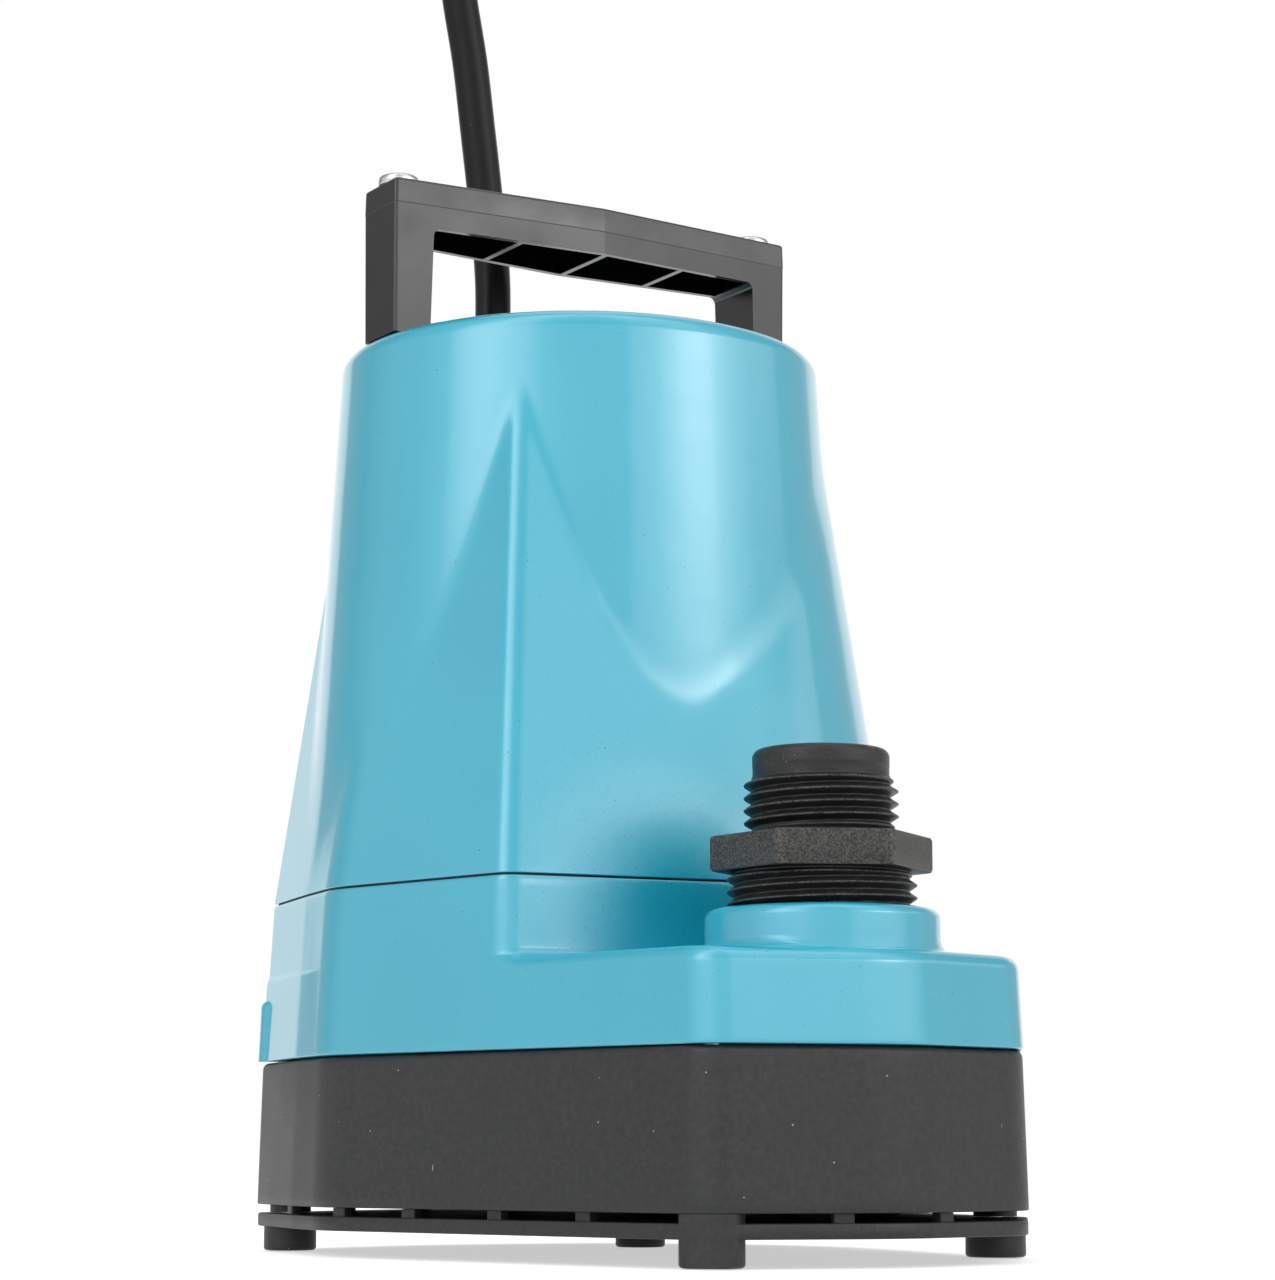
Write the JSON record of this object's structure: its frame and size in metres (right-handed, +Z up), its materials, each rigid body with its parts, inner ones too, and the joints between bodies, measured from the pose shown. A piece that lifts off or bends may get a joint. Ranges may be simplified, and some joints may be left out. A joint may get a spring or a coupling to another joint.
{
  "type": "submersible sump pump",
  "caption": "Compact submersible pump: tapered blue cast motor housing on a black volute with an all-round intake slit, carrying handle, threaded hose adapter and coiled mains cord.",
  "frame": {"origin": "middle of the pump's footprint (cord left out), on the floor under its feet", "axes": "+Z up along the motor axis's direction, +X from the motor towards the discharge, +Y to the back; the flat front wall faces -Y"},
  "size_m": [0.3688, 0.1224, 0.3383],
  "materials": {
    "blue_enamel": "glossy sky-blue epoxy enamel on die-cast aluminium, faint orange peel and fine dark specks",
    "volute_plastic": "satin charcoal glass-filled plastic with light dust specks",
    "handle_plastic": "satin black moulded plastic, faintly mottled sheen, parting line",
    "adapter_plastic": "black moulded plastic, whitish scuffs on the hexagon and thread crests",
    "seal_rubber": "black nitrile rubber",
    "cord_jacket": "smooth satin black thermoplastic jacket",
    "tie_rubber": "matte black rubber strap",
    "impeller_plastic": "moulded black plastic",
    "steel": "bright stainless steel",
    "blade_brass": "bright nickel-free brass",
    "laminations": "varnished electrical steel laminations",
    "copper": "enamelled copper wire, amber varnish",
    "ceramic": "white sintered ceramic",
    "protector_case": "black moulded case"
  },
  "bodies": {
    "pump": {"upper_housing": "blue_enamel", "housing_gasket": "seal_rubber", "lower_housing": "blue_enamel", "volute": "volute_plastic", "volute_seal": "seal_rubber", "intake_plate": "volute_plastic", "handle": "handle_plastic", "handle_screw_1": "steel", "handle_screw_2": "steel", "base_screw_1": "steel", "base_screw_2": "steel", "base_screw_3": "steel", "base_screw_4": "steel", "base_screw_5": "steel", "housing_screw_1": "steel", "housing_screw_2": "steel", "housing_screw_3": "steel", "housing_screw_4": "steel", "discharge_adapter": "adapter_plastic", "lower_bearing": "steel", "upper_bearing": "steel", "stator_core": "laminations", "lower_winding": "copper", "upper_winding": "copper", "thermal_protector": "protector_case", "seal_seat": "ceramic", "cord_strain_relief": "cord_jacket", "cord_lead": "cord_jacket", "cord_coil": "cord_jacket", "cord_tail": "cord_jacket", "cord_tie": "tie_rubber", "plug_body": "cord_jacket", "plug_blade_1": "blade_brass", "plug_blade_2": "blade_brass", "plug_ground_pin": "blade_brass"},
    "rotor": {"rotor_core": "laminations", "motor_shaft": "steel", "impeller": "impeller_plastic", "impeller_nut": "steel", "seal_head": "seal_rubber"}
  },
  "joints": [
    {"name": "rotor_spin", "type": "hinge", "parent": "pump", "child": "rotor", "pos_m": [-0.02609, -0.00182, 0.1], "axis": [0, 0, 1], "continuous": true}
  ]
}
